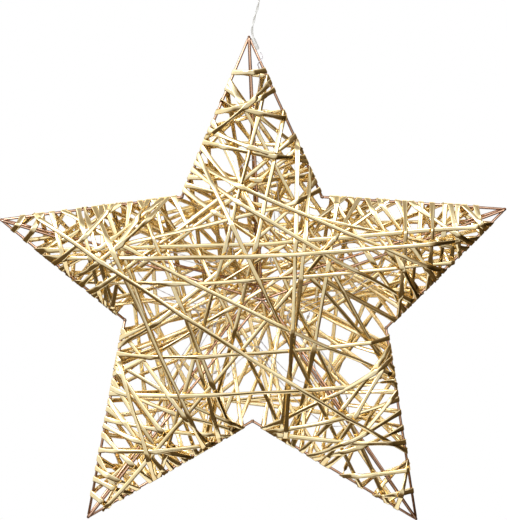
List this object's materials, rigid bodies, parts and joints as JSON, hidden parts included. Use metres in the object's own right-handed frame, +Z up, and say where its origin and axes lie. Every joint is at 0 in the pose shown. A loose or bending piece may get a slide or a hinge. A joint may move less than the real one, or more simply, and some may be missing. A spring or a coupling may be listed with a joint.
{
  "type": "lighted star decoration",
  "caption": "Hanging five-pointed wire star wound with thin gold tube, with a fine light string inside and a clear lead that ends in a hanging loop",
  "frame": {"origin": "the inner top of the hanging loop, where a hook bears", "axes": "+Z up, the star's front faces -Y, +X to the right seen from the front"},
  "size_m": [0.5062, 0.1145, 0.5864],
  "materials": {
    "copper_wire": "satin rose copper plating on steel wire",
    "gold_tube": "glossy metallised soft plastic, pale gold",
    "light_string": "silver lacquered wire with small clear resin bulbs",
    "clear_plastic": "clear cable sheath"
  },
  "bodies": {
    "root": {"edge_wire_1": "copper_wire", "edge_wire_2": "copper_wire", "edge_wire_3": "copper_wire", "edge_wire_4": "copper_wire", "edge_wire_5": "copper_wire", "edge_wire_6": "copper_wire", "edge_wire_7": "copper_wire", "edge_wire_8": "copper_wire", "edge_wire_9": "copper_wire", "edge_wire_10": "copper_wire", "ridge_wire_1": "copper_wire", "ridge_wire_2": "copper_wire", "ridge_wire_3": "copper_wire", "ridge_wire_4": "copper_wire", "ridge_wire_5": "copper_wire", "gold_tube_01": "gold_tube", "gold_tube_02": "gold_tube", "gold_tube_03": "gold_tube", "gold_tube_04": "gold_tube", "gold_tube_05": "gold_tube", "gold_tube_06": "gold_tube", "gold_tube_07": "gold_tube", "gold_tube_08": "gold_tube", "gold_tube_09": "gold_tube", "gold_tube_10": "gold_tube", "gold_tube_11": "gold_tube", "gold_tube_12": "gold_tube", "gold_tube_13": "gold_tube", "gold_tube_14": "gold_tube", "gold_tube_15": "gold_tube", "gold_tube_16": "gold_tube", "gold_tube_17": "gold_tube", "gold_tube_18": "gold_tube", "gold_tube_19": "gold_tube", "gold_tube_20": "gold_tube", "gold_tube_21": "gold_tube", "gold_tube_22": "gold_tube", "gold_tube_23": "gold_tube", "gold_tube_24": "gold_tube", "gold_tube_25": "gold_tube", "gold_tube_end": "gold_tube", "light_string": "light_string", "lead_sleeve": "clear_plastic", "lead": "clear_plastic", "lead_knot": "clear_plastic", "hanging_loop": "clear_plastic"}
  },
  "joints": []
}
